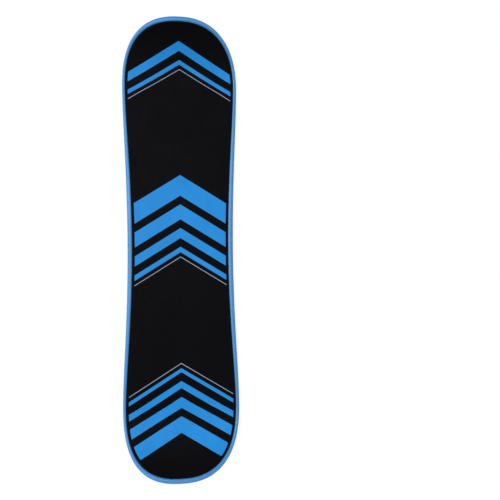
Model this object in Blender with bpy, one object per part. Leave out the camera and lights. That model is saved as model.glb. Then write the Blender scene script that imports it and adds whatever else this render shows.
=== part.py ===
"""Kids snowboard: a twin-shell plastic board with a fluted base and a padded deck.

The board lies flat on its base with its nose towards +Y, X across and +Z up. The origin is the middle
of the base, on the ground. Every piece is laid out flat first and then bent: in the flat layout a point
has a place across the board, a place along it, and a height above the running base. The bend keeps each
height square to the base, so clearances are the same in the upturned ends as in the middle.
Lengths are in metres.
"""

import math

import bmesh
import bpy
from mathutils import Vector

# Plan of the board
LENGTH = 0.950
WAIST_WIDTH = 0.229
NOSE_WIDTH = 0.249
TAIL_WIDTH = 0.251
NOSE_END_LENGTH = 0.147
TAIL_END_LENGTH = 0.158
NOSE_ROUNDNESS = 2.31
TAIL_ROUNDNESS = 2.41
WAIST_HANDLE_SHARE = 0.45
WIDE_HANDLE_SHARE = 0.20

# Side view
UPTURN_LENGTH = 0.135
UPTURN_RADIUS = 0.180

# Layers, from the ground up
SHELL_WALL = 0.0022
CORE_THICKNESS = 0.0070
ADHESIVE_THICKNESS = 0.0004
PAD_THICKNESS = 0.0025
TOPSHEET_THICKNESS = 0.0003
RIM_RISE = 0.0012
FIT_GAP = 0.0003

# Base shell
RAIL_RADIUS = 0.0055
RAIL_HEIGHT = 0.0088
LIP_REACH = 0.0015
LIP_THICKNESS = 0.0016

# Flutes of the base
CENTRE_FLUTE_WIDTH = 0.032
SIDE_FLUTE_WIDTH = 0.018
INNER_LAND_WIDTH = 0.0195
EDGE_LAND_WIDTH = 0.0180
FLUTE_DEPTH = 0.0026
FLUTE_END_MARGIN = 0.012
CENTRE_FLUTE_END_MARGIN = 0.042
FLUTE_RUNOUT = 0.050
NOSE_GROOVE_WIDTH = 0.012
NOSE_GROOVE_DEPTH = 0.0018
NOSE_GROOVE_LENGTH = 0.030

# Deck shell
WAIST_RIM_WIDTH = 0.0108
NOSE_RIM_WIDTH = 0.0073
TAIL_RIM_WIDTH = 0.0076
TIP_RIM_WIDTH = 0.0068
BEAD_ROUNDNESS = 2.7
BEAD_INNER_DROP = 0.0018
BEAD_SIDE_LAND = 0.0010
TONGUE_DEPTH = 0.0025
TONGUE_THICKNESS = 0.0015

# Pad and top sheet
PAD_CLEARANCE = 0.0004
PAD_EDGE_ROUND = 0.0006

# Fineness of the mesh
SIDE_STEPS = 5
TIP_STEPS = 16
BEND_ROWS = 11
RAIL_STEPS = 4
BEAD_STEPS = 8
FLUTE_STEPS = 6
INNER_FLUTE_STEPS = 5
WELD_DISTANCE = 0.00001
SHARP_ANGLE = math.radians(32.0)

# Heights of the layers above the running base
CORE_BOTTOM = SHELL_WALL + FIT_GAP
CORE_TOP = CORE_BOTTOM + CORE_THICKNESS
DECK_UNDERSIDE = CORE_TOP + FIT_GAP
RECESS_FLOOR = DECK_UNDERSIDE + SHELL_WALL
ADHESIVE_BOTTOM = RECESS_FLOOR + FIT_GAP
ADHESIVE_TOP = ADHESIVE_BOTTOM + ADHESIVE_THICKNESS
PAD_BOTTOM = ADHESIVE_TOP + FIT_GAP
PAD_TOP = PAD_BOTTOM + PAD_THICKNESS
TOPSHEET_BOTTOM = PAD_TOP + FIT_GAP
TOPSHEET_TOP = TOPSHEET_BOTTOM + TOPSHEET_THICKNESS
BEAD_CREST = TOPSHEET_TOP + RIM_RISE
PARTING_TOP = RAIL_HEIGHT + FIT_GAP

# Insets from the lip's edge
RAIL_INSET = LIP_REACH + RAIL_RADIUS
WALL_INSET = LIP_REACH + SHELL_WALL
TONGUE_INSET = WALL_INSET + FIT_GAP
TONGUE_INNER_INSET = TONGUE_INSET + TONGUE_THICKNESS
CORE_INSET = RAIL_INSET + FIT_GAP

# The bend, which ends where the rail's rounding reaches the full length
BEND_START = LENGTH / 2.0 - UPTURN_LENGTH
RAIL_CENTRE_ANGLE = math.asin((UPTURN_LENGTH - RAIL_RADIUS) / (UPTURN_RADIUS - RAIL_RADIUS))
HALF_FLAT_LENGTH = BEND_START + UPTURN_RADIUS * RAIL_CENTRE_ANGLE + RAIL_INSET

# Widest place and roundness of each end
NOSE_END = (HALF_FLAT_LENGTH - NOSE_END_LENGTH, NOSE_ROUNDNESS)
TAIL_END = (HALF_FLAT_LENGTH - TAIL_END_LENGTH, TAIL_ROUNDNESS)

# Places of the flutes across the base, each with its half width and end margin
MID_FLUTE_PLACE = CENTRE_FLUTE_WIDTH / 2.0 + INNER_LAND_WIDTH + SIDE_FLUTE_WIDTH / 2.0
OUTER_FLUTE_PLACE = WAIST_WIDTH / 2.0 - EDGE_LAND_WIDTH - SIDE_FLUTE_WIDTH / 2.0
FLUTES = (
    (-OUTER_FLUTE_PLACE, SIDE_FLUTE_WIDTH / 2.0, FLUTE_END_MARGIN),
    (-MID_FLUTE_PLACE, SIDE_FLUTE_WIDTH / 2.0, FLUTE_END_MARGIN),
    (0.0, CENTRE_FLUTE_WIDTH / 2.0, CENTRE_FLUTE_END_MARGIN),
    (MID_FLUTE_PLACE, SIDE_FLUTE_WIDTH / 2.0, FLUTE_END_MARGIN),
    (OUTER_FLUTE_PLACE, SIDE_FLUTE_WIDTH / 2.0, FLUTE_END_MARGIN),
)


def bend(across, along, height):
    """Place a point of the flat layout on the board with its ends turned up."""
    run = abs(along) - BEND_START
    if run <= 0.0:
        return Vector((across, along, height))
    turn = run / UPTURN_RADIUS
    reach = BEND_START + (UPTURN_RADIUS - height) * math.sin(turn)
    lift = UPTURN_RADIUS - (UPTURN_RADIUS - height) * math.cos(turn)
    return Vector((across, math.copysign(reach, along), lift))


def bezier(start, start_handle, end_handle, end, step):
    """Read one coordinate of a cubic curve at a step from 0 to 1."""
    back = 1.0 - step
    first = back ** 3 * start + 3.0 * back ** 2 * step * start_handle
    return first + 3.0 * back * step ** 2 * end_handle + step ** 3 * end


def quarter_outline(waist_half, wide_half, half_length, end):
    """Points from the waist to the tip on the +X side, tip left out."""
    widest, roundness = end
    points = []
    for index in range(SIDE_STEPS):
        step = index / SIDE_STEPS
        along = bezier(
            0.0,
            WAIST_HANDLE_SHARE * widest,
            (1.0 - WIDE_HANDLE_SHARE) * widest,
            widest,
            step,
        )
        across = bezier(waist_half, waist_half, wide_half, wide_half, step)
        points.append((across, along))
    for index in range(TIP_STEPS):
        angle = math.pi / 2.0 * index / TIP_STEPS
        across = wide_half * math.cos(angle) ** (2.0 / roundness)
        along = widest + (half_length - widest) * math.sin(angle) ** (2.0 / roundness)
        points.append((across, along))
    return points


def tip_curve(across, wide_half, half_length, end):
    """Place along the board where the rounded end lies at a place across it."""
    widest, roundness = end
    fall = 1.0 - (abs(across) / wide_half) ** roundness
    return widest + (half_length - widest) * fall ** (1.0 / roundness)


def groove_points(wide_half, half_length):
    """Points on the +X side of the nose tip where the nose groove bends."""
    points = []
    for share in (1.0, 0.5):
        across = NOSE_GROOVE_WIDTH / 2.0 * share
        points.append((across, tip_curve(across, wide_half, half_length, NOSE_END)))
    return points


def outline(waist_half, nose_half, tail_half, half_length):
    """Closed outline of the flat board, counter-clockwise seen from above."""
    nose = quarter_outline(waist_half, nose_half, half_length, NOSE_END)
    nose += groove_points(nose_half, half_length)
    tail = quarter_outline(waist_half, tail_half, half_length, TAIL_END)
    ring = list(nose)
    ring.append((0.0, half_length))
    ring += [(-across, along) for across, along in reversed(nose)]
    ring += [(-across, -along) for across, along in tail[1:]]
    ring.append((0.0, -half_length))
    ring += [(across, -along) for across, along in reversed(tail[1:])]
    return ring


def inset(ring, distance):
    """Move each point of an outline inwards, square to the outline."""
    moved = []
    count = len(ring)
    for index, (across, along) in enumerate(ring):
        before = Vector(ring[index - 1])
        after = Vector(ring[(index + 1) % count])
        here = Vector((across, along))
        entry = (here - before).normalized()
        leave = (after - here).normalized()
        course = (entry + leave).normalized()
        square = Vector((-course.y, course.x))
        spread = max(course.dot(entry), WELD_DISTANCE)
        moved.append(tuple(here + square * distance / spread))
    return moved


def between(outer_ring, inner_ring, share):
    """Outline that lies a share of the way from one outline to another."""
    ring = []
    for outer_point, inner_point in zip(outer_ring, inner_ring):
        ring.append(tuple(Vector(outer_point).lerp(Vector(inner_point), share)))
    return ring


LIP_RING = outline(WAIST_WIDTH / 2.0, NOSE_WIDTH / 2.0, TAIL_WIDTH / 2.0, HALF_FLAT_LENGTH)
RECESS_RING = outline(
    WAIST_WIDTH / 2.0 - WAIST_RIM_WIDTH,
    NOSE_WIDTH / 2.0 - NOSE_RIM_WIDTH,
    TAIL_WIDTH / 2.0 - TAIL_RIM_WIDTH,
    HALF_FLAT_LENGTH - TIP_RIM_WIDTH,
)


def level(ring, height):
    """Lift an outline of the flat layout to one height."""
    return [(across, along, height) for across, along in ring]


def groove_rise(across, along, spread):
    """Depth of the short groove that leaves the base over the rail at the nose."""
    offset = abs(across) / (NOSE_GROOVE_WIDTH / 2.0 + spread)
    if along <= 0.0 or offset >= 1.0:
        return 0.0
    run = along - (HALF_FLAT_LENGTH - NOSE_GROOVE_LENGTH)
    lead = min(max(2.0 * run / NOSE_GROOVE_LENGTH, 0.0), 1.0)
    return NOSE_GROOVE_DEPTH * lead * (1.0 - offset ** 2)


def rail_ring(radius, angle, spread):
    """Ring on a rounding of the rail, at an angle from the floor up, with the nose groove in it."""
    ring = []
    for across, along in inset(LIP_RING, RAIL_INSET - radius * math.sin(angle)):
        dent = groove_rise(across, along, spread) * math.cos(angle)
        if angle == 0.0:
            dent = 0.0
        height = RAIL_RADIUS - (radius - dent) * math.cos(angle)
        ring.append((across, along - dent * math.sin(angle), height))
    return ring


def floor_rise(across, along, spread):
    """Height by which the flutes lift a floor, their sides moved out by a spread."""
    groove = groove_rise(across, along, spread)
    for place, half_width, margin in FLUTES:
        offset = abs(across - place) / (half_width + spread)
        if offset >= 1.0:
            continue
        width, end = (NOSE_WIDTH, NOSE_END) if along > 0.0 else (TAIL_WIDTH, TAIL_END)
        end_place = tip_curve(place, width / 2.0, HALF_FLAT_LENGTH, end) - margin
        share_gone = (abs(along) - end_place + FLUTE_RUNOUT) / FLUTE_RUNOUT
        ending = math.sqrt(1.0 - min(max(share_gone, 0.0), 1.0) ** 2)
        return max(groove, FLUTE_DEPTH * ending * math.sqrt(1.0 - offset ** 2))
    return groove


def flute_lines(spread, steps):
    """Places across the board where the facets of the flutes meet."""
    lines = []
    for place, half_width, _ in FLUTES:
        for index in range(steps + 1):
            lines.append(place - (half_width + spread) * math.cos(math.pi * index / steps))
    groove_half = NOSE_GROOVE_WIDTH / 2.0 + spread
    return lines + [-groove_half, -groove_half / 2.0, groove_half / 2.0, groove_half]


def bend_lines():
    """Places along the board where the facets of the bend meet."""
    lines = [0.0]
    for index in range(BEND_ROWS):
        place = BEND_START + (HALF_FLAT_LENGTH - BEND_START) * index / BEND_ROWS
        lines += [place, -place]
    return lines


def cut(mesh, geometry, place, direction):
    """Cut only the given faces along a line of the flat layout."""
    result = bmesh.ops.bisect_plane(
        mesh,
        geom=geometry,
        dist=WELD_DISTANCE,
        plane_co=place,
        plane_no=direction,
    )
    return result["geom"]


def cut_cap(mesh, cap, spread, steps):
    """Divide an end face of a stack along the bend, and along the flutes if it has them."""
    geometry = [cap] + list(cap.edges) + list(cap.verts)
    for along in bend_lines():
        geometry = cut(mesh, geometry, Vector((0.0, along, 0.0)), Vector((0.0, 1.0, 0.0)))
    if spread is None:
        return set()
    for across in flute_lines(spread, steps):
        geometry = cut(mesh, geometry, Vector((across, 0.0, 0.0)), Vector((1.0, 0.0, 0.0)))
    return {vert for vert in geometry if isinstance(vert, bmesh.types.BMVert)}


def stack(name, rings, bottom_flutes, top_flutes, finish):
    """Loft a closed body through a stack of outlines, then bend it.

    The first and the last ring are closed by a face. For each of these two faces the flutes are None
    or a pair: the spread of their sides and their steps.
    """
    mesh = bmesh.new()
    loops = []
    for ring in rings:
        loops.append([mesh.verts.new(point) for point in ring])
    count = len(loops[0])
    for lower, upper in zip(loops, loops[1:]):
        for index in range(count):
            after = (index + 1) % count
            mesh.faces.new((lower[index], lower[after], upper[after], upper[index]))
    caps = (mesh.faces.new(loops[0]), mesh.faces.new(loops[-1]))
    rises = {}
    for cap, flutes in zip(caps, (bottom_flutes, top_flutes)):
        spread, steps = flutes or (None, 0)
        for vert in cut_cap(mesh, cap, spread, steps):
            rises[vert] = floor_rise(vert.co.x, vert.co.y, spread)
    bmesh.ops.recalc_face_normals(mesh, faces=mesh.faces)
    bmesh.ops.triangulate(mesh, faces=mesh.faces)
    for vert in mesh.verts:
        vert.co = bend(vert.co.x, vert.co.y, vert.co.z + rises.get(vert, 0.0))
    data = bpy.data.meshes.new(name)
    mesh.to_mesh(data)
    mesh.free()
    data.shade_smooth()
    data.set_sharp_from_angle(angle=SHARP_ANGLE)
    data.materials.append(finish)
    piece = bpy.data.objects.new(name, data)
    bpy.context.scene.collection.objects.link(piece)
    return piece


def material(name, colour, roughness):
    """A plain coloured finish."""
    finish = bpy.data.materials.new(name)
    finish.use_nodes = True
    shader = finish.node_tree.nodes["Principled BSDF"]
    shader.inputs["Base Color"].default_value = (*colour, 1.0)
    shader.inputs["Roughness"].default_value = roughness
    shader.inputs["Metallic"].default_value = 0.0
    return finish


def base_shell():
    """Running base: fluted floor, rolled rail and joining lip, open at the top."""
    rail_root = inset(LIP_RING, LIP_REACH)
    quarter = math.pi / 2.0
    rings = []
    for index in range(RAIL_STEPS + 1):
        rings.append(rail_ring(RAIL_RADIUS, quarter * index / RAIL_STEPS, 0.0))
    rings.append(level(rail_root, RAIL_HEIGHT - LIP_THICKNESS))
    rings.append(level(LIP_RING, RAIL_HEIGHT - LIP_THICKNESS))
    rings.append(level(LIP_RING, RAIL_HEIGHT))
    rings.append(level(inset(LIP_RING, WALL_INSET), RAIL_HEIGHT))
    for index in reversed(range(RAIL_STEPS)):
        angle = quarter * index / (RAIL_STEPS - 1)
        rings.append(rail_ring(RAIL_RADIUS - SHELL_WALL, angle, SHELL_WALL))
    blue = material("base_blue_polyethylene", (0.042, 0.270, 0.716), 0.36)
    return stack("base_shell", rings, (0.0, FLUTE_STEPS), (SHELL_WALL, INNER_FLUTE_STEPS), blue)


def deck_shell():
    """Upper shell: recess for the pad, rounded bead round it, and a tongue inside the rail."""
    outer = inset(LIP_RING, LIP_REACH)
    outer_drop = BEAD_CREST - PARTING_TOP - BEAD_SIDE_LAND
    tongue_outer = inset(LIP_RING, TONGUE_INSET)
    tongue_inner = inset(LIP_RING, TONGUE_INNER_INSET)
    rings = [
        level(tongue_inner, DECK_UNDERSIDE),
        level(tongue_inner, RAIL_HEIGHT - TONGUE_DEPTH),
        level(tongue_outer, RAIL_HEIGHT - TONGUE_DEPTH),
        level(tongue_outer, PARTING_TOP),
        level(outer, PARTING_TOP),
    ]
    for index in range(BEAD_STEPS + 1):
        offset = -math.cos(math.pi * index / BEAD_STEPS)
        drop = outer_drop if offset < 0.0 else BEAD_INNER_DROP
        fall = 1.0 - abs(offset) ** BEAD_ROUNDNESS
        bead = between(outer, RECESS_RING, (1.0 + offset) / 2.0)
        rings.append(level(bead, BEAD_CREST - drop * (1.0 - fall ** (1.0 / BEAD_ROUNDNESS))))
    rings.append(level(RECESS_RING, RECESS_FLOOR))
    blue = material("deck_blue_polyethylene", (0.075, 0.290, 0.620), 0.36)
    return stack("deck_shell", rings, None, None, blue)


def foam_core():
    """Light core between the shells, channelled over the flutes."""
    ring = inset(LIP_RING, CORE_INSET)
    rings = [level(ring, CORE_BOTTOM), level(ring, CORE_TOP)]
    foam = material("core_white_foam", (0.86, 0.86, 0.83), 0.9)
    return stack("foam_core", rings, (SHELL_WALL + FIT_GAP, INNER_FLUTE_STEPS), None, foam)


def pad_adhesive():
    """Adhesive sheet on the floor of the recess."""
    ring = inset(RECESS_RING, PAD_CLEARANCE)
    rings = [level(ring, ADHESIVE_BOTTOM), level(ring, ADHESIVE_TOP)]
    glue = material("clear_amber_adhesive", (0.55, 0.47, 0.28), 0.5)
    return stack("pad_adhesive", rings, None, None, glue)


def deck_pad():
    """Black foam pad in the recess, its upper edge rounded."""
    edge = inset(RECESS_RING, PAD_CLEARANCE)
    top = inset(RECESS_RING, PAD_CLEARANCE + PAD_EDGE_ROUND)
    rings = [level(edge, PAD_BOTTOM), level(edge, PAD_TOP - PAD_EDGE_ROUND), level(top, PAD_TOP)]
    foam = material("pad_black_foam", (0.0045, 0.0048, 0.0055), 0.75)
    return stack("deck_pad", rings, None, None, foam)


def printed_topsheet():
    """Thin printed sheet that covers the pad."""
    ring = inset(RECESS_RING, PAD_CLEARANCE + PAD_EDGE_ROUND)
    rings = [level(ring, TOPSHEET_BOTTOM), level(ring, TOPSHEET_TOP)]
    sheet = material("topsheet_satin_black", (0.0048, 0.0050, 0.0062), 0.45)
    return stack("printed_topsheet", rings, None, None, sheet)


def main():
    """Clear the scene and build the board under one empty."""
    for item in list(bpy.data.objects):
        bpy.data.objects.remove(item, do_unlink=True)
    board = bpy.data.objects.new("snowboard", None)
    bpy.context.scene.collection.objects.link(board)
    for build in (base_shell, foam_core, deck_shell, pad_adhesive, deck_pad, printed_topsheet):
        build().parent = board


main()
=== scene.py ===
"""Kids snowboard: the finished surfaces of a twin-shell plastic board, its print, and a studio stage.

Every shell is laid out flat and then bent, as the board itself is made: in the flat layout a point has a
place across the board, a place along it and a height above the running base. Lengths are in metres.
"""

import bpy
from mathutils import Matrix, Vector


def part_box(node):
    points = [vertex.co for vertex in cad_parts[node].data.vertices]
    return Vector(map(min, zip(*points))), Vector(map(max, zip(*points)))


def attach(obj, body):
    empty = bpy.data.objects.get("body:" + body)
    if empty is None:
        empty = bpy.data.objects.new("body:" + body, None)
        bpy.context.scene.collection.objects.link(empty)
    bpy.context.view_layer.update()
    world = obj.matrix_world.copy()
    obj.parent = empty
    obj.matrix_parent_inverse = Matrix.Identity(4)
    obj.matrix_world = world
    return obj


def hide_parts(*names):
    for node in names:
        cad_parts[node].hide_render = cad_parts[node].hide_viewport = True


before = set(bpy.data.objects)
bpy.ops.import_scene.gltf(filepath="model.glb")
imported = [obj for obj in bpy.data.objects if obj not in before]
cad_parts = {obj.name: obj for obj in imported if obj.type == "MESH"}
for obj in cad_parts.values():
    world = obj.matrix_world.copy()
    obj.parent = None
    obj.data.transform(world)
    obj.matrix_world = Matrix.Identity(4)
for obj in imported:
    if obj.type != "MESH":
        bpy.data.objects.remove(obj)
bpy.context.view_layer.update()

import math

import bmesh
import bpy
from bpy.props import FloatProperty, FloatVectorProperty, IntProperty, PointerProperty
from mathutils import Matrix, Vector
from mathutils.geometry import delaunay_2d_cdt

bl_info = {
    "name": "Kids snowboard finish",
    "version": (1, 0, 0),
    "blender": (4, 5, 0),
    "location": "3D View > Sidebar > Snowboard",
    "description": "Builds the finished shells, pad, printed sheet and stage of a kids snowboard",
    "category": "Object",
}

BODY = "root"
SENSOR_WIDTH = 36.0
QUARTER_TURN = math.pi / 2.0

# Tolerances of the meshes
WELD_DISTANCE = 0.000005
PRINT_TOLERANCE = 0.000001
SHARP_ANGLE = math.radians(34.0)
LEAST_CORNER_COSINE = 0.1

# Course of the sides between the waist and the widest places, as on the solids
WAIST_HANDLE_SHARE = 0.45
WIDE_HANDLE_SHARE = 0.20

# Points that the short nose groove adds to each half of an outline, and how many of them lie in it
GROOVE_POINTS = 8
GROOVE_POINTS_INSIDE = 6

# Facets across each half of that groove on a floor
GROOVE_FACETS = 4

# Start of the rim bead's foot, as a share of the bead's width
BEAD_FOOT_SHARE = 0.03

# How far every chevron arm runs from the middle, past the margin that trims it
PRINT_REACH = 0.16

# Thickness of each chevron of a group, nose side first, as a share of the group's thickest
MIDDLE_GROUP = (1.0, 0.72, 0.48, 0.26)
NOSE_GROUP = (1.0, 0.5)
TAIL_GROUP = (0.24, 0.42, 0.66, 1.0)

# Fold lines of the printed sheet: the least half length, and how far they end from the edge
LEAST_HALF_FOLD = 0.002
FOLD_MARGIN = 0.0005

# Levels between which most of a noise texture lies
NOISE_LOW = 0.3
NOISE_HIGH = 0.7

PEBBLES_PER_METRE = 950.0


def length(name, description, default):
    """A length that a user can change."""
    return FloatProperty(
        name=name,
        description=description,
        default=default,
        min=0.0,
        precision=4,
        subtype="DISTANCE",
        unit="LENGTH",
    )


def colour(name, description, default):
    """A linear colour that a user can change."""
    return FloatVectorProperty(
        name=name,
        description=description,
        default=default,
        min=0.0,
        max=1.0,
        size=3,
        subtype="COLOR",
    )


def share(name, description, default):
    """A plain share from 0 to 1 that a user can change."""
    return FloatProperty(
        name=name, description=description, default=default, min=0.0, max=1.0, subtype="FACTOR"
    )


def power(name, description, default):
    """The power of a rounded curve that a user can change."""
    return FloatProperty(name=name, description=description, default=default, min=1.5)


def count(name, description, default):
    """A number of facets that a user can change."""
    return IntProperty(name=name, description=description, default=default, min=3)


def turn(name, description, degrees):
    """An angle that a user can change."""
    return FloatProperty(
        name=name, description=description, default=math.radians(degrees), subtype="ANGLE"
    )


def brightness(name, description, default):
    """The strength of a light that a user can change."""
    return FloatProperty(name=name, description=description, default=default, min=0.0)


class BoardSizes(bpy.types.PropertyGroup):
    """Sizes of the board's plan, side view, base, rim and layers."""

    length: length("Length", "Overall length, nose to tail", 0.950)
    waist_width: length("Waist width", "Width across the middle", 0.229)
    nose_width: length("Nose width", "Widest place of the nose half", 0.249)
    tail_width: length("Tail width", "Widest place of the tail half", 0.251)
    nose_end: length("Nose end", "From the nose's widest place to its tip, laid flat", 0.147)
    tail_end: length("Tail end", "From the tail's widest place to its tip, laid flat", 0.158)
    nose_roundness: power("Nose roundness", "Power of the nose's rounded curve", 2.31)
    tail_roundness: power("Tail roundness", "Power of the tail's rounded curve", 2.41)
    upturn_length: length("Upturn length", "Length of each upturned end, seen from above", 0.135)
    upturn_radius: length("Upturn radius", "Radius of the running base in the upturned ends", 0.180)
    shell_wall: length("Shell wall", "Thickness of the plastic shells", 0.0022)
    fit_gap: length("Fit gap", "Gap between neighbouring pieces", 0.0003)
    rail_radius: length("Rail radius", "Rounding between the base and the rail", 0.0055)
    rail_height: length("Rail height", "Height of the parting line above the base", 0.0088)
    lip_reach: length("Lip reach", "How far the joining lip stands out", 0.0015)
    lip_thickness: length("Lip thickness", "Thickness of the joining lip", 0.0016)
    centre_flute_width: length("Centre flute width", "Width of the middle flute", 0.032)
    side_flute_width: length("Side flute width", "Width of each other flute", 0.018)
    inner_land_width: length("Inner land", "Flat land beside the middle flute", 0.0195)
    edge_land_width: length("Edge land", "Flat land outside the outer flutes at the waist", 0.0180)
    flute_depth: length("Flute depth", "Depth of the flutes", 0.0026)
    flute_end_margin: length("Flute end margin", "From a side flute's end to the tip's edge", 0.012)
    centre_flute_end_margin: length(
        "Centre flute end margin", "From the middle flute's end to the tip's edge", 0.042
    )
    flute_runout: length("Flute run-out", "Length over which a flute dies out", 0.050)
    groove_width: length("Nose groove width", "Width of the short groove over the nose rail", 0.012)
    groove_depth: length("Nose groove depth", "Depth of that groove", 0.0018)
    groove_length: length("Nose groove length", "Length of that groove", 0.030)
    waist_rim: length("Rim at the waist", "Width of the rim at the waist", 0.0108)
    nose_rim: length("Rim at the nose", "Width of the rim at the nose's widest place", 0.0073)
    tail_rim: length("Rim at the tail", "Width of the rim at the tail's widest place", 0.0076)
    tip_rim: length("Rim at the tips", "Width of the rim at both tips", 0.0068)
    bead_crest: length("Bead crest", "Height of the rim bead above the base", 0.0173)
    bead_inner_drop: length("Bead inner drop", "Height of the bead's inner rounding", 0.0018)
    bead_side_land: length("Bead side land", "Plain height at the foot of the bead", 0.0010)
    bead_roundness: power("Bead roundness", "Power of the bead's section, where 2 is an ellipse", 2.7)
    deck_underside: length("Deck underside", "Height of the deck shell's underside", 0.0098)
    tongue_depth: length("Tongue depth", "How far the tongue reaches below the parting line", 0.0025)
    tongue_thickness: length("Tongue thickness", "Thickness of the tongue", 0.0015)
    pad_clearance: length("Pad clearance", "Gap round the pad", 0.0004)
    pad_edge_round: length("Pad edge rounding", "Rounding of the pad's upper edge", 0.0006)
    sheet_thickness: length("Sheet thickness", "Thickness of the printed sheet", 0.0003)
    side_steps: count("Side steps", "Facets from the waist to a widest place", 16)
    tip_steps: count("Tip steps", "Facets from a widest place to a tip", 44)
    bend_rows: count("Bend rows", "Facets along each upturned end", 34)
    flute_steps: count("Flute steps", "Facets across each flute", 14)
    rail_steps: count("Rail steps", "Facets round the outside of the rail", 10)
    inner_rail_steps: count("Inner rail steps", "Facets round the inside of the rail", 4)
    lip_steps: count("Lip steps", "Facets round the lip's upper edge", 3)
    bead_steps: count("Bead steps", "Facets over the rim bead", 26)
    pad_edge_steps: count("Pad edge steps", "Facets round the pad's upper edge", 4)


class BoardColours(bpy.types.PropertyGroup):
    """Colours of the plastics, the foams, the adhesive and the print."""

    base: colour("Base plastic", "Polyethylene of the running base", (0.026, 0.276, 0.735))
    rim: colour("Rim plastic", "Polyethylene of the deck shell", (0.054, 0.257, 0.580))
    black: colour("Sheet black", "Ground of the printed sheet", (0.0026, 0.0026, 0.0033))
    ink: colour("Print blue", "Ink of the chevrons", (0.0195, 0.266, 0.715))
    accent: colour("Print grey", "Ink of the pinstripes", (0.36, 0.38, 0.50))
    pad: colour("Pad foam", "Foam under the printed sheet", (0.0040, 0.0042, 0.0050))
    core: colour("Core foam", "Foam between the shells", (0.86, 0.86, 0.83))
    adhesive: colour("Adhesive", "Transfer adhesive under the pad", (0.55, 0.47, 0.28))


class PrintLayout(bpy.types.PropertyGroup):
    """Places and sizes of the print, in the flat layout. Places are measured from the board's middle."""

    margin: length("Print margin", "Bare black edge round the print", 0.0050)
    slope: share("Slope", "Rise of every chevron arm for each length across the board", 0.62)
    gap: length("Chevron gap", "Black gap between chevrons", 0.019)
    middle_place: length("Middle place", "Nose-side point of the middle group", 0.160)
    middle_width: length("Middle width", "Thickness of the thickest middle chevron", 0.045)
    nose_place: length("Nose place", "Nose-side point of the nose group", 0.452)
    nose_width: length("Nose width", "Thickness of the thickest nose chevron", 0.020)
    tail_place: length("Tail place", "Nose-side point of the tail group, towards the tail", 0.258)
    tail_width: length("Tail width", "Thickness of the thickest tail chevron", 0.036)
    pinstripe: length("Pinstripe", "Thickness of the grey pinstripes", 0.0016)


class StageSettings(bpy.types.PropertyGroup):
    """Camera, light and floor of the studio."""

    camera_height: length("Camera height", "Height of the camera above the floor", 0.8081)
    camera_side: length("Camera side", "How far the camera stands to the board's right", 0.0370)
    camera_back: length("Camera back", "How far the camera stands from the middle to the tail", 0.0145)
    lens: FloatProperty(
        name="Lens", description="Focal length for a 36 mm sensor", default=26.156, min=10.0, unit="CAMERA"
    )
    swing: turn("Swing", "Turn of the camera towards the board's right", 4.288)
    pitch: turn("Pitch", "Turn of the camera towards the nose", 0.811)
    roll: turn("Roll", "Lean of the board in the frame", 0.416)
    shift: FloatProperty(name="Shift", description="Lens shift towards the right", default=0.05)
    key_level: brightness("Key light", "Strength of the soft light from the upper left", 2.52)
    key_softness: turn("Key softness", "Width of the key light in the sky", 38.0)
    key_direction: FloatVectorProperty(
        name="Key direction",
        description="From the board towards the key light",
        default=(-0.34, 0.16, 1.0),
        size=3,
        subtype="DIRECTION",
    )
    room_level: brightness("Room light", "Level of the even light of the room", 0.2)
    floor_shade: share("Floor shade", "Grey level of the floor's own paint", 0.95)
    floor_glow: brightness("Floor glow", "Level of the white that the camera sees in the floor", 1.04)
    floor_glow_share: share("Floor glow share", "Part of that white in the floor's look", 0.80)
    floor_reach: length("Floor reach", "From the board to the floor's sides", 12.0)
    floor_drop: length("Floor drop", "Gap between the floor and the base", 0.0002)


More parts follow.
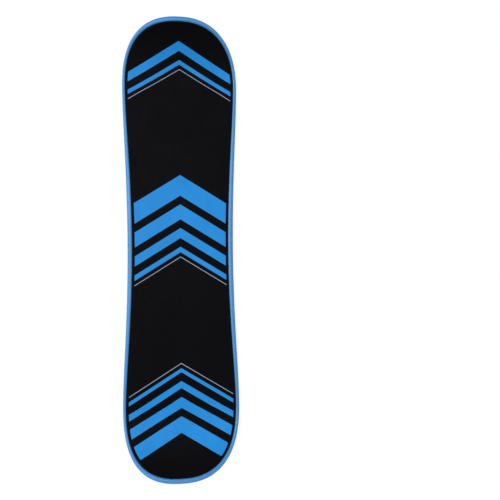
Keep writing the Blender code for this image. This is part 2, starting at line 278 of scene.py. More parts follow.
class FlatBoard:
    """The board's flat layout and its bend, worked out from the sizes."""

    def __init__(self, sizes):
        self.sizes = sizes
        self.bend_start = sizes.length / 2.0 - sizes.upturn_length
        reach = sizes.upturn_length - sizes.rail_radius
        rail_turn = math.asin(reach / (sizes.upturn_radius - sizes.rail_radius))
        self.rail_inset = sizes.lip_reach + sizes.rail_radius
        self.half_length = self.bend_start + sizes.upturn_radius * rail_turn + self.rail_inset
        self.nose_end = (self.half_length - sizes.nose_end, sizes.nose_roundness)
        self.tail_end = (self.half_length - sizes.tail_end, sizes.tail_roundness)
        side_half = sizes.side_flute_width / 2.0
        centre_half = sizes.centre_flute_width / 2.0
        middle = centre_half + sizes.inner_land_width + side_half
        outer = sizes.waist_width / 2.0 - sizes.edge_land_width - side_half
        self.flutes = [(0.0, centre_half, sizes.centre_flute_end_margin)]
        for place in (-outer, -middle, middle, outer):
            self.flutes.append((place, side_half, sizes.flute_end_margin))
        self.lip_ring = self.outline(0.0, 0.0, 0.0, 0.0)
        self.recess_ring = self.outline(sizes.waist_rim, sizes.nose_rim, sizes.tail_rim, sizes.tip_rim)

    def bend(self, across, along, height):
        """Place a point of the flat layout on the board with its ends turned up."""
        run = abs(along) - self.bend_start
        if run <= 0.0:
            return Vector((across, along, height))
        radius = self.sizes.upturn_radius
        angle = run / radius
        reach = self.bend_start + (radius - height) * math.sin(angle)
        lift = radius - (radius - height) * math.cos(angle)
        return Vector((across, math.copysign(reach, along), lift))

    def tip_curve(self, across, wide_half, half_length, end):
        """Place along the board where the rounded end lies at a place across it."""
        widest, roundness = end
        fall = max(1.0 - (abs(across) / wide_half) ** roundness, 0.0)
        return widest + (half_length - widest) * fall ** (1.0 / roundness)

    def quarter(self, waist_half, wide_half, half_length, end):
        """Points from the waist to the tip on the +X side, tip left out."""
        sizes = self.sizes
        widest, roundness = end
        points = []
        handle = WAIST_HANDLE_SHARE * widest
        end_handle = (1.0 - WIDE_HANDLE_SHARE) * widest
        for index in range(sizes.side_steps):
            step = index / sizes.side_steps
            back = 1.0 - step
            along = 3.0 * back * back * step * handle + 3.0 * back * step * step * end_handle
            along += step ** 3 * widest
            bulge = 3.0 * back * step * step + step ** 3
            points.append((waist_half + (wide_half - waist_half) * bulge, along))
        for index in range(sizes.tip_steps):
            angle = QUARTER_TURN * index / sizes.tip_steps
            along = widest + (half_length - widest) * math.sin(angle) ** (2.0 / roundness)
            points.append((wide_half * math.cos(angle) ** (2.0 / roundness), along))
        return points

    def outline(self, waist_rim, nose_rim, tail_rim, tip_rim):
        """Closed outline inside the lip's edge, counter-clockwise seen from above."""
        sizes = self.sizes
        waist_half = sizes.waist_width / 2.0 - waist_rim
        nose_half = sizes.nose_width / 2.0 - nose_rim
        tail_half = sizes.tail_width / 2.0 - tail_rim
        half_length = self.half_length - tip_rim
        nose = self.quarter(waist_half, nose_half, half_length, self.nose_end)
        last = nose[-1][0]
        for point in range(GROOVE_POINTS, 0, -1):
            across = point / GROOVE_POINTS_INSIDE * sizes.groove_width / 2.0
            if across < last:
                nose.append((across, self.tip_curve(across, nose_half, half_length, self.nose_end)))
        tail = self.quarter(waist_half, tail_half, half_length, self.tail_end)
        ring = list(nose)
        ring.append((0.0, half_length))
        ring += [(-across, along) for across, along in reversed(nose)]
        ring += [(-across, -along) for across, along in tail[1:]]
        ring.append((0.0, -half_length))
        ring += [(across, -along) for across, along in reversed(tail[1:])]
        return ring

    def groove_rise(self, across, along, spread):
        """Depth of the short groove that leaves the base over the rail at the nose."""
        sizes = self.sizes
        offset = abs(across) / (sizes.groove_width / 2.0 + spread)
        if along <= 0.0 or offset >= 1.0:
            return 0.0
        run = along - (self.half_length - sizes.groove_length)
        lead = min(max(2.0 * run / sizes.groove_length, 0.0), 1.0)
        return sizes.groove_depth * lead * (1.0 - offset ** 2)

    def floor_rise(self, across, along, spread):
        """Height by which the flutes lift a floor, their sides moved out by a spread."""
        sizes = self.sizes
        groove = self.groove_rise(across, along, spread)
        for place, half_width, margin in self.flutes:
            offset = abs(across - place) / (half_width + spread)
            if offset >= 1.0:
                continue
            width, end = sizes.tail_width, self.tail_end
            if along > 0.0:
                width, end = sizes.nose_width, self.nose_end
            end_place = self.tip_curve(place, width / 2.0, self.half_length, end) - margin
            share_gone = (abs(along) - end_place + sizes.flute_runout) / sizes.flute_runout
            ending = math.sqrt(1.0 - min(max(share_gone, 0.0), 1.0) ** 2)
            return max(groove, sizes.flute_depth * ending * math.sqrt(1.0 - offset ** 2))
        return groove

    def flute_lines(self, spread, steps):
        """Places across the board where the facets of the flutes meet."""
        lines = []
        for place, half_width, _ in self.flutes:
            for index in range(steps + 1):
                lines.append(place - (half_width + spread) * math.cos(math.pi * index / steps))
        groove_half = self.sizes.groove_width / 2.0 + spread
        for index in range(1, GROOVE_FACETS + 1):
            line = groove_half * index / GROOVE_FACETS
            lines += [-line, line]
        return sorted(lines)

    def rows(self, steps):
        """Places along the board where the facets of the bend meet."""
        places = [0.0]
        for index in range(steps):
            place = self.bend_start + (self.half_length - self.bend_start) * index / steps
            places += [place, -place]
        return sorted(places)

    def rail_ring(self, radius, angle, spread):
        """Ring on a rounding of the rail, at an angle from the floor up, with the nose groove.

        The lowest ring has no groove yet, because it belongs to the floor, which is lifted later.
        """
        ring = []
        for across, along in inset(self.lip_ring, self.rail_inset - radius * math.sin(angle)):
            dent = self.groove_rise(across, along, spread) * math.cos(angle) if angle > 0.0 else 0.0
            height = self.sizes.rail_radius - (radius - dent) * math.cos(angle)
            ring.append((across, along - dent * math.sin(angle), height))
        return ring

    def rail_rings(self, radius, spread, steps):
        """Rings round the rail, from the floor up."""
        return [self.rail_ring(radius, QUARTER_TURN * index / steps, spread) for index in range(steps + 1)]


def inset(ring, distance):
    """Move each point of an outline inwards, square to the outline."""
    moved = []
    total = len(ring)
    for index, (across, along) in enumerate(ring):
        before = Vector(ring[index - 1])
        after = Vector(ring[(index + 1) % total])
        here = Vector((across, along))
        entry = (here - before).normalized()
        leave = (after - here).normalized()
        course = (entry + leave).normalized()
        square = Vector((-course.y, course.x))
        moved.append(tuple(here + square * distance / max(course.dot(entry), LEAST_CORNER_COSINE)))
    return moved


def between(outer_ring, inner_ring, part):
    """Outline that lies a part of the way from one outline to another."""
    pairs = zip(outer_ring, inner_ring)
    return [tuple(Vector(outer).lerp(Vector(inner), part)) for outer, inner in pairs]


def half_width_at(ring, place):
    """Half the width of an outline at a place along it."""
    widest = 0.0
    for index, (across, along) in enumerate(ring):
        after_across, after_along = ring[(index + 1) % len(ring)]
        low, high = sorted((along, after_along))
        if low <= place <= high and high > low:
            part = (place - along) / (after_along - along)
            widest = max(widest, across + (after_across - across) * part)
    return widest


def level(ring, height):
    """Lift an outline of the flat layout to one height."""
    return [(across, along, height) for across, along in ring]


def level_inset(ring, distance, height):
    """Move an outline inwards and lift it to one height."""
    return level(inset(ring, distance), height)


def rounded_edge(ring, inset_from, inset_to, height_from, height_to, steps):
    """Rings of a quarter round between two insets and heights, the vertical side first."""
    rings = []
    for index in range(steps + 1):
        angle = QUARTER_TURN * index / steps
        distance = inset_from + (inset_to - inset_from) * (1.0 - math.cos(angle))
        height = height_from + (height_to - height_from) * math.sin(angle)
        rings.append(level_inset(ring, distance, height))
    return rings


def cut_face(mesh, face, rows, columns):
    """Divide a flat face along rows and columns, and return its points."""
    geometry = [face] + list(face.edges) + list(face.verts)
    cuts = [(Vector((0.0, place, 0.0)), Vector((0.0, 1.0, 0.0))) for place in rows]
    cuts += [(Vector((place, 0.0, 0.0)), Vector((1.0, 0.0, 0.0))) for place in columns]
    for place, direction in cuts:
        result = bmesh.ops.bisect_plane(
            mesh, geom=geometry, dist=WELD_DISTANCE, plane_co=place, plane_no=direction
        )
        geometry = result["geom"]
    return [item for item in geometry if isinstance(item, bmesh.types.BMVert)]


def border_points(mesh):
    """Points round the one open border of a mesh, in order."""
    edge = next(edge for edge in mesh.edges if edge.is_boundary)
    first, here = edge.verts
    points = [first]
    while here != first:
        points.append(here)
        edge = next(other for other in here.link_edges if other.is_boundary and other != edge)
        here = edge.other_vert(here)
    return points


def bend_mesh(board, mesh, rises):
    """Bend a flat mesh with the board, after lifting the points that have a rise."""
    bmesh.ops.recalc_face_normals(mesh, faces=mesh.faces)
    bmesh.ops.triangulate(mesh, faces=[face for face in mesh.faces if len(face.verts) > 4])
    for vert in mesh.verts:
        vert.co = board.bend(vert.co.x, vert.co.y, vert.co.z + rises.get(vert, 0.0))


def finish_mesh(name, mesh, materials):
    """Turn a bmesh into a shaded piece that rides with the board."""
    data = bpy.data.meshes.new(name)
    mesh.to_mesh(data)
    mesh.free()
    data.shade_smooth()
    data.set_sharp_from_angle(angle=SHARP_ANGLE)
    for material in materials:
        data.materials.append(material)
    piece = bpy.data.objects.new(name, data)
    bpy.context.scene.collection.objects.link(piece)
    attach(piece, BODY)
    return piece


def stack(board, name, rings, floors, material):
    """Loft a closed body through a stack of outlines, close its ends, and bend it.

    The floors give, for the first and the last ring, the rows and the columns to cut it along, and the
    spread of the flutes that lift it, or None for a plain floor.
    """
    mesh = bmesh.new()
    loops = [[mesh.verts.new(point) for point in ring] for ring in rings]
    total = len(loops[0])
    for lower, upper in zip(loops, loops[1:]):
        for index in range(total):
            after = (index + 1) % total
            mesh.faces.new((lower[index], lower[after], upper[after], upper[index]))
    ends = (mesh.faces.new(loops[0]), mesh.faces.new(loops[-1]))
    rises = {}
    for end, (rows, columns, spread) in zip(ends, floors):
        for vert in cut_face(mesh, end, rows, columns):
            if spread is not None:
                rises[vert] = board.floor_rise(vert.co.x, vert.co.y, spread)
    bend_mesh(board, mesh, rises)
    return finish_mesh(name, mesh, [material])


class Shading:
    """A node material, put together in a few plain steps."""

    # Places of the colours among the inputs and outputs of a Mix node
    colour_sockets = (6, 7)
    colour_result = 2

    def __init__(self, name):
        self.material = bpy.data.materials.new(name)
        self.material.use_nodes = True
        self.tree = self.material.node_tree
        self.nodes = self.tree.nodes
        self.shader = self.nodes["Principled BSDF"]
        self.place = self.nodes.new("ShaderNodeTexCoord").outputs["Object"]

    def give(self, value, socket):
        """Link a node's output to a socket, or set a plain number or colour on it."""
        if isinstance(value, bpy.types.NodeSocket):
            self.tree.links.new(value, socket)
        else:
            socket.default_value = value

    def stretched(self, per_metre):
        """Object coordinates for a texture that repeats so many times to a metre on each axis."""
        mapping = self.nodes.new("ShaderNodeMapping")
        mapping.inputs["Scale"].default_value = per_metre
        self.give(self.place, mapping.inputs["Vector"])
        return mapping.outputs["Vector"]

    def noise(self, per_metre, detail, roughness=0.5):
        """Noise with so many grains to a metre on each axis."""
        texture = self.nodes.new("ShaderNodeTexNoise")
        texture.inputs["Scale"].default_value = 1.0
        texture.inputs["Detail"].default_value = detail
        texture.inputs["Roughness"].default_value = roughness
        self.give(self.stretched(per_metre), texture.inputs["Vector"])
        return texture.outputs["Fac"]

    def cells(self, per_metre):
        """Distance to the middle of rounded cells, so many to a metre."""
        texture = self.nodes.new("ShaderNodeTexVoronoi")
        texture.inputs["Scale"].default_value = 1.0
        self.give(self.stretched((per_metre, per_metre, per_metre)), texture.inputs["Vector"])
        return texture.outputs["Distance"]

    def span(self, value, low, high, to_low, to_high):
        """Map a value from one range to another."""
        ranging = self.nodes.new("ShaderNodeMapRange")
        ranging.inputs["From Min"].default_value = low
        ranging.inputs["From Max"].default_value = high
        ranging.inputs["To Min"].default_value = to_low
        ranging.inputs["To Max"].default_value = to_high
        self.give(value, ranging.inputs["Value"])
        return ranging.outputs["Result"]

    def varied(self, per_metre, detail, least, most):
        """A number that a noise carries between a least and a most."""
        return self.span(self.noise(per_metre, detail), NOISE_LOW, NOISE_HIGH, least, most)

    def mask(self, per_metre, detail, low=NOISE_LOW, high=NOISE_HIGH, roughness=0.5):
        """Noise that runs from 0 to 1 between two of its own levels."""
        return self.span(self.noise(per_metre, detail, roughness), low, high, 0.0, 1.0)

    def join(self, operation, first, second):
        """Join two numbers, each plain or from a node, by an operation."""
        joining = self.nodes.new("ShaderNodeMath")
        joining.operation = operation
        self.give(first, joining.inputs[0])
        self.give(second, joining.inputs[1])
        return joining.outputs["Value"]

    def add(self, first, second):
        """Add two numbers."""
        return self.join("ADD", first, second)

    def multiply(self, first, second):
        """Multiply two numbers."""
        return self.join("MULTIPLY", first, second)

    def blend(self, factor, first, second):
        """Blend two colours, each plain or from a node."""
        mix = self.nodes.new("ShaderNodeMix")
        mix.data_type = "RGBA"
        self.give(factor, mix.inputs["Factor"])
        for given, socket in zip((first, second), self.colour_sockets):
            self.give(given, mix.inputs[socket])
        return mix.outputs[self.colour_result]

    def bump(self, height, distance, strength, below=None):
        """Raise the surface by a height map, over another bump if one is given."""
        bumping = self.nodes.new("ShaderNodeBump")
        bumping.inputs["Strength"].default_value = strength
        bumping.inputs["Distance"].default_value = distance
        self.give(height, bumping.inputs["Height"])
        if below is not None:
            self.give(below, bumping.inputs["Normal"])
        return bumping.outputs["Normal"]

    def finished(self, shade, roughness, normal, specular=0.5):
        """The material, with its shader's sockets set."""
        self.give(shade, self.shader.inputs["Base Color"])
        self.give(roughness, self.shader.inputs["Roughness"])
        self.give(normal, self.shader.inputs["Normal"])
        self.give(specular, self.shader.inputs["Specular IOR Level"])
        return self.material


def tinted(base, factor):
    """A colour made lighter or darker, with the alpha that a colour socket needs."""
    return (*(min(channel * factor, 1.0) for channel in base), 1.0)


def moulded_polyethylene(name, base):
    """Satin polyethylene: soft cloudiness, lengthwise flow streaks, fine orange peel and hairline scuffs."""
    look = Shading(name)
    clouds = look.mask(per_metre=(9.0, 5.0, 9.0), detail=4.0)
    streaks = look.mask(per_metre=(210.0, 2.2, 60.0), detail=2.0)
    hairlines = look.mask((1500.0, 14.0, 900.0), detail=2.0, low=0.66, high=0.74, roughness=0.4)
    patches = look.mask(per_metre=(16.0, 9.0, 16.0), detail=3.0, low=0.52, high=0.68)
    scuffs = look.multiply(hairlines, patches)
    cloudy = look.blend(clouds, tinted(base, 0.93), tinted(base, 1.05))
    streaky = look.blend(look.multiply(streaks, 0.36), cloudy, tinted(base, 1.17))
    shade = look.blend(look.multiply(scuffs, 0.30), streaky, tinted(base, 1.9))
    satin = look.varied(per_metre=(70.0, 22.0, 70.0), detail=4.0, least=0.33, most=0.43)
    roughness = look.add(satin, look.multiply(scuffs, 0.12))
    peel = look.bump(look.noise((620.0, 620.0, 620.0), detail=2.0), distance=0.00010, strength=0.6)
    scratched = look.bump(scuffs, distance=0.00003, strength=0.35, below=peel)
    return look.finished(shade, roughness, scratched, specular=0.33)


def pebble_grain(look):
    """Cells of the printed sheet's fine pebble grain, and the bump that they give it."""
    cells = look.cells(PEBBLES_PER_METRE)
    return cells, look.bump(look.span(cells, 0.0, 0.8, 1.0, 0.0), distance=0.00006, strength=0.6)


def sheet_black(name, base):
    """Black ground of the printed sheet: satin lacquer over a fine pebble grain, its pebble tops painted
    lighter as a highlight.
    """
    look = Shading(name)
    cells, pebbles = pebble_grain(look)
    clouds = look.mask(per_metre=(12.0, 8.0, 12.0), detail=3.0)
    cloudy = look.blend(clouds, tinted(base, 0.70), tinted(base, 1.05))
    # Painted highlight: the pebble tops are painted lighter, standing in for the light the grain's relief
    # would catch.
    shade = look.blend(look.span(cells, 0.15, 0.75, 0.55, 0.0), cloudy, tinted(base, 2.0))
    roughness = look.varied(per_metre=(90.0, 60.0, 90.0), detail=4.0, least=0.46, most=0.58)
    swell = look.noise(per_metre=(45.0, 30.0, 45.0), detail=2.0)
    waved = look.bump(swell, distance=0.00025, strength=0.25, below=pebbles)
    return look.finished(shade, roughness, waved, specular=0.018)


def printed_ink(name, base):
    """Ink on the sheet: slightly uneven cover, over the same pebble grain, painted darker between the
    pebbles as shade.
    """
    look = Shading(name)
    cells, pebbles = pebble_grain(look)
    clouds = look.mask(per_metre=(24.0, 14.0, 24.0), detail=4.0)
    specks = look.mask(per_metre=(420.0, 420.0, 420.0), detail=3.0, low=0.35, high=0.75)
    cloudy = look.blend(clouds, tinted(base, 0.91), tinted(base, 1.08))
    speckled = look.blend(look.multiply(specks, 0.35), cloudy, tinted(base, 1.22))
    # Painted shade: the ink is painted darker between the pebbles, where the grain's hollows lie.
    shade = look.blend(look.span(cells, 0.45, 0.9, 0.0, 0.5), speckled, tinted(base, 0.80))
    roughness = look.varied(per_metre=(90.0, 60.0, 90.0), detail=4.0, least=0.42, most=0.54)
    return look.finished(shade, roughness, pebbles, specular=0.06)


def pad_foam(name, base):
    """Closed-cell foam with a fine open skin at its cut edge."""
    look = Shading(name)
    cells = look.cells(per_metre=1400.0)
    shade = look.blend(look.span(cells, 0.0, 0.8, 0.0, 1.0), tinted(base, 0.7), tinted(base, 1.5))
    pitted = look.bump(cells, distance=0.0001, strength=0.5)
    return look.finished(shade, roughness=0.82, normal=pitted)


def bead_foam(name, base):
    """White foam of fused beads."""
    look = Shading(name)
    cells = look.cells(per_metre=260.0)
    shade = look.blend(look.span(cells, 0.1, 0.7, 0.0, 1.0), tinted(base, 1.0), tinted(base, 0.88))
    beaded = look.bump(cells, distance=0.0004, strength=0.5)
    return look.finished(shade, roughness=0.9, normal=beaded)


def film_adhesive(name, base):
    """Amber transfer adhesive with faint lay lines."""
    look = Shading(name)
    lines = look.noise(per_metre=(30.0, 700.0, 30.0), detail=2.0)
    shade = look.blend(lines, tinted(base, 0.9), tinted(base, 1.1))
    lined = look.bump(lines, distance=0.00005, strength=0.3)
    return look.finished(shade, roughness=0.4, normal=lined)


def counter_clockwise(polygon):
    """The polygon's points in counter-clockwise order."""
    area = 0.0
    for index, (across, along) in enumerate(polygon):
        before_across, before_along = polygon[index - 1]
        area += before_across * along - across * before_along
    return polygon if area > 0.0 else polygon[::-1]


def slanted_band(left, right, foot, thickness, slope):
    """A band that rises to the right between two places across the board."""
    return [
        (left, foot + slope * left),
        (right, foot + slope * right),
        (right, foot + slope * right + thickness),
        (left, foot + slope * left + thickness),
    ]


def chevron(point, thickness, slope):
    """The two arms of a chevron that points to the nose."""
    foot = point - thickness
    return [
        slanted_band(-PRINT_REACH, 0.0, foot, thickness, slope),
        slanted_band(0.0, PRINT_REACH, foot, thickness, -slope),
    ]


def chevron_group(point, thickest, shares, layout):
    """Nested chevrons from a first point towards the tail, and the foot of the last one."""
    shapes = []
    for part in shares:
        thickness = thickest * part
        shapes += chevron(point, thickness, layout.slope)
        foot = point - thickness
        point = foot - layout.gap
    return shapes, foot


def print_shapes(layout):
    """Every blue shape of the print, and every grey one: a pinstripe beside each group's thin end."""
    middle, middle_foot = chevron_group(layout.middle_place, layout.middle_width, MIDDLE_GROUP, layout)
    nose, nose_foot = chevron_group(layout.nose_place, layout.nose_width, NOSE_GROUP, layout)
    tail, _ = chevron_group(-layout.tail_place, layout.tail_width, TAIL_GROUP, layout)
    half_gap = layout.gap / 2.0
    before_tail = half_gap + layout.pinstripe - layout.tail_place
    pinstripes = []
    for point in (nose_foot - half_gap, middle_foot - half_gap, before_tail):
        pinstripes += chevron(point, layout.pinstripe, layout.slope)
    return middle + nose + tail, pinstripes


class BoardPiece:
    """What every operator of the panel shares."""

    bl_options = {"REGISTER", "UNDO"}

    def board(self, context):
        """The flat layout for the sizes that the scene has now."""
        return FlatBoard(context.scene.board_sizes)


class SNOWBOARD_OT_base_shell(BoardPiece, bpy.types.Operator):
    """Make the fluted running base with its rolled rail and joining lip"""

    bl_idname = "snowboard.base_shell"
    bl_label = "Base shell"

    def execute(self, context):
        board = self.board(context)
        sizes = board.sizes
        lip = board.lip_ring
        lip_round = sizes.lip_thickness / 4.0
        lip_bottom = sizes.rail_height - sizes.lip_thickness
        lip_shoulder = sizes.rail_height - lip_round
        rings = board.rail_rings(sizes.rail_radius, 0.0, sizes.rail_steps)
        rings.append(level_inset(lip, sizes.lip_reach, lip_bottom - lip_round))
        rings.append(level_inset(lip, sizes.lip_reach - lip_round / 2.0, lip_bottom))
        rings.append(level_inset(lip, lip_round, lip_bottom))
        rings.append(level_inset(lip, 0.0, lip_bottom + lip_round))
        rings += rounded_edge(lip, 0.0, lip_round, lip_shoulder, sizes.rail_height, sizes.lip_steps)
        rings.append(level_inset(lip, sizes.lip_reach + sizes.shell_wall, sizes.rail_height))
        inner_radius = sizes.rail_radius - sizes.shell_wall
        rings += reversed(board.rail_rings(inner_radius, sizes.shell_wall, sizes.inner_rail_steps))
        outer_lines = board.flute_lines(0.0, sizes.flute_steps)
        inner_lines = board.flute_lines(sizes.shell_wall, sizes.flute_steps // 2)
        floors = (
            (board.rows(sizes.bend_rows), outer_lines, 0.0),
            (board.rows(sizes.bend_rows // 2), inner_lines, sizes.shell_wall),
        )
        plastic = moulded_polyethylene("base_polyethylene", context.scene.board_colours.base)
        piece = stack(board, "running_base", rings, floors, plastic)
        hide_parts("base_shell")
        return {"FINISHED"}


class SNOWBOARD_OT_deck_shell(BoardPiece, bpy.types.Operator):
    """Make the deck shell with its rounded rim bead, its recess and its tongue"""

    bl_idname = "snowboard.deck_shell"
    bl_label = "Deck shell"

    def execute(self, context):
        board = self.board(context)
        sizes = board.sizes
        parting = sizes.rail_height + sizes.fit_gap
        tongue_inset = sizes.lip_reach + sizes.shell_wall + sizes.fit_gap
        tongue_bottom = sizes.rail_height - sizes.tongue_depth
        outer = inset(board.lip_ring, sizes.lip_reach)
        tongue_outer = inset(board.lip_ring, tongue_inset)
        tongue_inner = inset(board.lip_ring, tongue_inset + sizes.tongue_thickness)
        rings = [
            level(tongue_inner, sizes.deck_underside),
            level(tongue_inner, tongue_bottom),
            level(tongue_outer, tongue_bottom),
            level(tongue_outer, parting),
            level(between(outer, board.recess_ring, BEAD_FOOT_SHARE), parting),
            level(outer, parting + sizes.bead_side_land / 4.0),
        ]
        rings += self.bead_rings(board, outer, parting)
        rings.append(level(board.recess_ring, sizes.deck_underside + sizes.shell_wall))
        floor = (board.rows(sizes.bend_rows // 2), (), None)
        plastic = moulded_polyethylene("rim_polyethylene", context.scene.board_colours.rim)
        piece = stack(board, "rim_and_deck_shell", rings, (floor, floor), plastic)
        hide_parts("deck_shell")
        return {"FINISHED"}

    def bead_rings(self, board, outer, parting):
        """Rings over the rim bead, from its outer side to the recess."""
        sizes = board.sizes
        outer_drop = sizes.bead_crest - parting - sizes.bead_side_land
        rings = []
        for index in range(sizes.bead_steps + 1):
            offset = -math.cos(math.pi * index / sizes.bead_steps)
            drop = outer_drop if offset < 0.0 else sizes.bead_inner_drop
            fall = max(1.0 - abs(offset) ** sizes.bead_roundness, 0.0)
            height = sizes.bead_crest - drop * (1.0 - fall ** (1.0 / sizes.bead_roundness))
            rings.append(level(between(outer, board.recess_ring, (1.0 + offset) / 2.0), height))
        return rings


class SNOWBOARD_OT_pad(BoardPiece, bpy.types.Operator):
    """Make the foam pad that lies in the recess"""

    bl_idname = "snowboard.pad"
    bl_label = "Deck pad"

    def execute(self, context):
        board = self.board(context)
        sizes = board.sizes
        recess = board.recess_ring
        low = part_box("deck_pad")[0].z
        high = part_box("printed_topsheet")[0].z - sizes.fit_gap
        edge = sizes.pad_edge_round
        side, top = sizes.pad_clearance, sizes.pad_clearance + edge
        rings = [level_inset(recess, side + edge / 2.0, low), level_inset(recess, side, low + edge / 2.0)]
        rings += rounded_edge(recess, side, top, high - edge, high, sizes.pad_edge_steps)
        floor = (board.rows(sizes.bend_rows // 2), (), None)
        foam = pad_foam("black_pad_foam", context.scene.board_colours.pad)
        piece = stack(board, "foam_pad", rings, (floor, floor), foam)
        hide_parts("deck_pad")
        return {"FINISHED"}


class SNOWBOARD_OT_printed_sheet(BoardPiece, bpy.types.Operator):
    """Make the printed sheet on the pad, its print cut into the sheet's own faces"""

    bl_idname = "snowboard.printed_sheet"
    bl_label = "Printed sheet"

    triangles_inside = 1
    blue, grey = 1, 2

    def execute(self, context):
        board = self.board(context)
        sizes = board.sizes
        colours = context.scene.board_colours
        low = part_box("printed_topsheet")[0].z
        edge = inset(board.recess_ring, sizes.pad_clearance + sizes.pad_edge_round)
        mesh = self.printed_face(board, edge, context.scene.print_layout, low + sizes.sheet_thickness)
        self.close_below(mesh, low, board.rows(sizes.bend_rows // 2))
        bend_mesh(board, mesh, {})
        finishes = [
            sheet_black("sheet_black", colours.black),
            printed_ink("sheet_blue_ink", colours.ink),
            printed_ink("sheet_grey_ink", colours.accent),
        ]
        piece = finish_mesh("printed_sheet", mesh, finishes)
        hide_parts("printed_topsheet")
        return {"FINISHED"}

    def printed_face(self, board, edge, layout, height):
        """The sheet's upper face, cut along the print and along the facets of the bend."""
        chevrons, pinstripes = print_shapes(layout)
        polygons = [edge, inset(edge, layout.margin)] + chevrons + pinstripes
        whole_sheet, inside_margin = 0, 1
        first_pinstripe = len(polygons) - len(pinstripes)
        points = []
        loops = []
        for polygon in polygons:
            loops.append(list(range(len(points), len(points) + len(polygon))))
            points += [Vector(point) for point in counter_clockwise(polygon)]
        folds = []
        for place in board.rows(board.sizes.bend_rows * 2):
            half = half_width_at(edge, place)
            if half > LEAST_HALF_FOLD:
                folds.append((len(points), len(points) + 1))
                points += [Vector((-half + FOLD_MARGIN, place)), Vector((half - FOLD_MARGIN, place))]
        cut = delaunay_2d_cdt(points, folds, loops, self.triangles_inside, PRINT_TOLERANCE)
        verts, _, faces, _, _, origins = cut
        mesh = bmesh.new()
        top = [mesh.verts.new((point.x, point.y, height)) for point in verts]
        for face, origin in zip(faces, origins):
            if whole_sheet not in origin:
                continue
            made = mesh.faces.new([top[index] for index in face])
            if inside_margin in origin and max(origin) > inside_margin:
                made.material_index = self.grey if max(origin) >= first_pinstripe else self.blue
        loose = [vert for vert in mesh.verts if not vert.link_faces]
        bmesh.ops.delete(mesh, geom=loose, context="VERTS")
        return mesh

    def close_below(self, mesh, low, rows):
        """Give the upper face its side down to a height, and an underside that is cut along rows."""
        border = border_points(mesh)
        foot = [mesh.verts.new((vert.co.x, vert.co.y, low)) for vert in border]
        for index in range(len(border)):
            mesh.faces.new((border[index - 1], foot[index - 1], foot[index], border[index]))
        cut_face(mesh, mesh.faces.new(foot), rows, ())


class SNOWBOARD_OT_hidden_layers(BoardPiece, bpy.types.Operator):
    """Finish the foam core and the adhesive sheet, which stay as the frame has them"""

    bl_idname = "snowboard.hidden_layers"
    bl_label = "Core and adhesive"

    def execute(self, context):
        colours = context.scene.board_colours
        looks = {
            "foam_core": bead_foam("white_bead_foam", colours.core),
            "pad_adhesive": film_adhesive("amber_adhesive", colours.adhesive),
        }
        for name, look in looks.items():
            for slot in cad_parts[name].material_slots:
                slot.material = look
        return {"FINISHED"}


def seen_directly(nodes, links):
    """A value of 1 for rays from the camera, a mirror or glass, and of 0 for the light on the object."""
    rays = nodes.new("ShaderNodeLightPath")
    total = rays.outputs["Is Camera Ray"]
    for name in ("Is Glossy Ray", "Is Transmission Ray"):
        larger = nodes.new("ShaderNodeMath")
        larger.operation = "MAXIMUM"
        links.new(total, larger.inputs[0])
        links.new(rays.outputs[name], larger.inputs[1])
        total = larger.outputs["Value"]
    return total


def mixed_shader(nodes, links, factor, first, second):
    """The first shader where the factor is 0, and the second where it is 1."""
    mix = nodes.new("ShaderNodeMixShader")
    links.new(factor, mix.inputs["Fac"])
    links.new(first, mix.inputs[1])
    links.new(second, mix.inputs[2])
    return mix.outputs["Shader"]


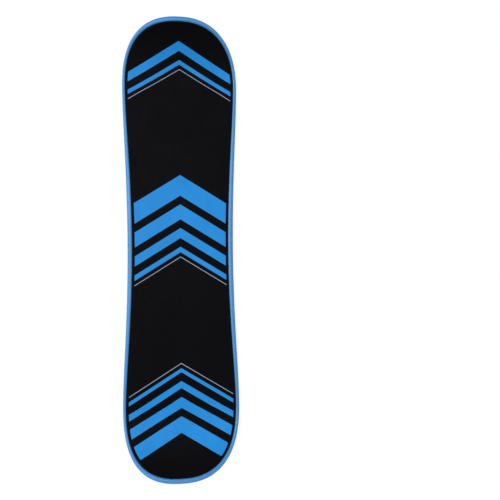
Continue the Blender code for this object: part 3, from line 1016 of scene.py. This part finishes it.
class SNOWBOARD_OT_stage(BoardPiece, bpy.types.Operator):
    """Make the pale floor, the soft lights and the camera above the deck"""

    bl_idname = "snowboard.stage"
    bl_label = "Stage"

    def execute(self, context):
        settings = context.scene.stage_settings
        self.make_floor(context, settings)
        self.make_room(context, settings)
        self.make_key(context, settings)
        self.make_camera(context, settings)
        context.scene.view_settings.view_transform = "Standard"
        return {"FINISHED"}

    def floor_look(self, settings):
        """White paint that keeps the shadow, and is clear when seen from below."""
        look = bpy.data.materials.new("studio_floor")
        look.use_nodes = True
        nodes, links = look.node_tree.nodes, look.node_tree.links
        paint = nodes["Principled BSDF"]
        shade = settings.floor_shade
        paint.inputs["Base Color"].default_value = (shade, shade, shade, 1.0)
        paint.inputs["Roughness"].default_value = 0.95
        paint.inputs["Specular IOR Level"].default_value = 0.0
        glow = nodes.new("ShaderNodeEmission")
        glow.inputs["Strength"].default_value = settings.floor_glow
        part = nodes.new("ShaderNodeMath")
        part.operation = "MULTIPLY"
        part.inputs[1].default_value = settings.floor_glow_share
        links.new(seen_directly(nodes, links), part.inputs[0])
        glowing = part.outputs["Value"]
        white = mixed_shader(nodes, links, glowing, paint.outputs["BSDF"], glow.outputs["Emission"])
        clear = nodes.new("ShaderNodeBsdfTransparent")
        facing = nodes.new("ShaderNodeNewGeometry")
        sided = mixed_shader(nodes, links, facing.outputs["Backfacing"], white, clear.outputs["BSDF"])
        links.new(sided, nodes["Material Output"].inputs["Surface"])
        return look

    def make_floor(self, context, settings):
        """A wide floor, just under the board."""
        half = settings.floor_reach
        data = bpy.data.meshes.new("studio_floor")
        corners = [(-half, -half, 0.0), (half, -half, 0.0), (half, half, 0.0), (-half, half, 0.0)]
        data.from_pydata(corners, [], [(0, 1, 2, 3)])
        data.materials.append(self.floor_look(settings))
        floor = bpy.data.objects.new("studio_floor", data)
        floor.location.z = -settings.floor_drop
        context.scene.collection.objects.link(floor)

    def make_room(self, context, settings):
        """Even light from all round, in front of a white background."""
        world = bpy.data.worlds.new("studio_room")
        context.scene.world = world
        world.use_nodes = True
        nodes, links = world.node_tree.nodes, world.node_tree.links
        room = nodes["Background"]
        backdrop = nodes.new("ShaderNodeBackground")
        for background, light in ((room, settings.room_level), (backdrop, 1.0)):
            background.inputs["Color"].default_value = (1.0, 1.0, 1.0, 1.0)
            background.inputs["Strength"].default_value = light
        seen = seen_directly(nodes, links)
        both = mixed_shader(nodes, links, seen, room.outputs["Background"], backdrop.outputs["Background"])
        links.new(both, nodes["World Output"].inputs["Surface"])

    def make_key(self, context, settings):
        """A wide soft light from the upper left, as even as daylight from a large window."""
        data = bpy.data.lights.new("key_light", "SUN")
        data.energy = settings.key_level
        data.angle = settings.key_softness
        lamp = bpy.data.objects.new("key_light", data)
        lamp.location = settings.key_direction
        lamp.rotation_mode = "QUATERNION"
        lamp.rotation_quaternion = (-lamp.location).to_track_quat("-Z", "Y")
        context.scene.collection.objects.link(lamp)

    def make_camera(self, context, settings):
        """A camera above the board that looks a little past the board's right side."""
        data = bpy.data.cameras.new("camera")
        data.sensor_width = SENSOR_WIDTH
        data.lens = settings.lens
        data.shift_x = settings.shift
        camera = bpy.data.objects.new("camera", data)
        turned = Matrix.Rotation(-settings.roll, 4, "Z") @ Matrix.Rotation(settings.pitch, 4, "X")
        turned = turned @ Matrix.Rotation(-settings.swing, 4, "Y")
        place = Matrix.Translation((settings.camera_side, -settings.camera_back, settings.camera_height))
        camera.matrix_world = place @ turned
        context.scene.collection.objects.link(camera)
        context.scene.camera = camera


class SNOWBOARD_PT_panel(bpy.types.Panel):
    """Sidebar panel that lists the board's pieces, sizes, colours, print and stage"""

    bl_label = "Snowboard"
    bl_idname = "SNOWBOARD_PT_panel"
    bl_space_type = "VIEW_3D"
    bl_region_type = "UI"
    bl_category = "Snowboard"

    def draw(self, context):
        column = self.layout.column()
        for operator in OPERATORS:
            column.operator(operator.bl_idname)
        for name in GROUPS:
            group = getattr(context.scene, name)
            box = self.layout.box()
            for setting in group.__annotations__:
                box.prop(group, setting)


OPERATORS = (
    SNOWBOARD_OT_base_shell,
    SNOWBOARD_OT_deck_shell,
    SNOWBOARD_OT_pad,
    SNOWBOARD_OT_printed_sheet,
    SNOWBOARD_OT_hidden_layers,
    SNOWBOARD_OT_stage,
)
GROUPS = {
    "board_sizes": BoardSizes,
    "board_colours": BoardColours,
    "print_layout": PrintLayout,
    "stage_settings": StageSettings,
}


def register():
    """Add the groups, the operators and the panel."""
    for name, group in GROUPS.items():
        bpy.utils.register_class(group)
        setattr(bpy.types.Scene, name, PointerProperty(type=group))
    for operator in OPERATORS:
        bpy.utils.register_class(operator)
    bpy.utils.register_class(SNOWBOARD_PT_panel)


def unregister():
    """Take the panel, the operators and the groups away again."""
    bpy.utils.unregister_class(SNOWBOARD_PT_panel)
    for operator in reversed(OPERATORS):
        bpy.utils.unregister_class(operator)
    for name, group in reversed(list(GROUPS.items())):
        delattr(bpy.types.Scene, name)
        bpy.utils.unregister_class(group)


def main():
    """Build every piece and the stage."""
    register()
    bpy.ops.snowboard.base_shell()
    bpy.ops.snowboard.deck_shell()
    bpy.ops.snowboard.pad()
    bpy.ops.snowboard.printed_sheet()
    bpy.ops.snowboard.hidden_layers()
    bpy.ops.snowboard.stage()


if __name__ == "__main__":
    main()
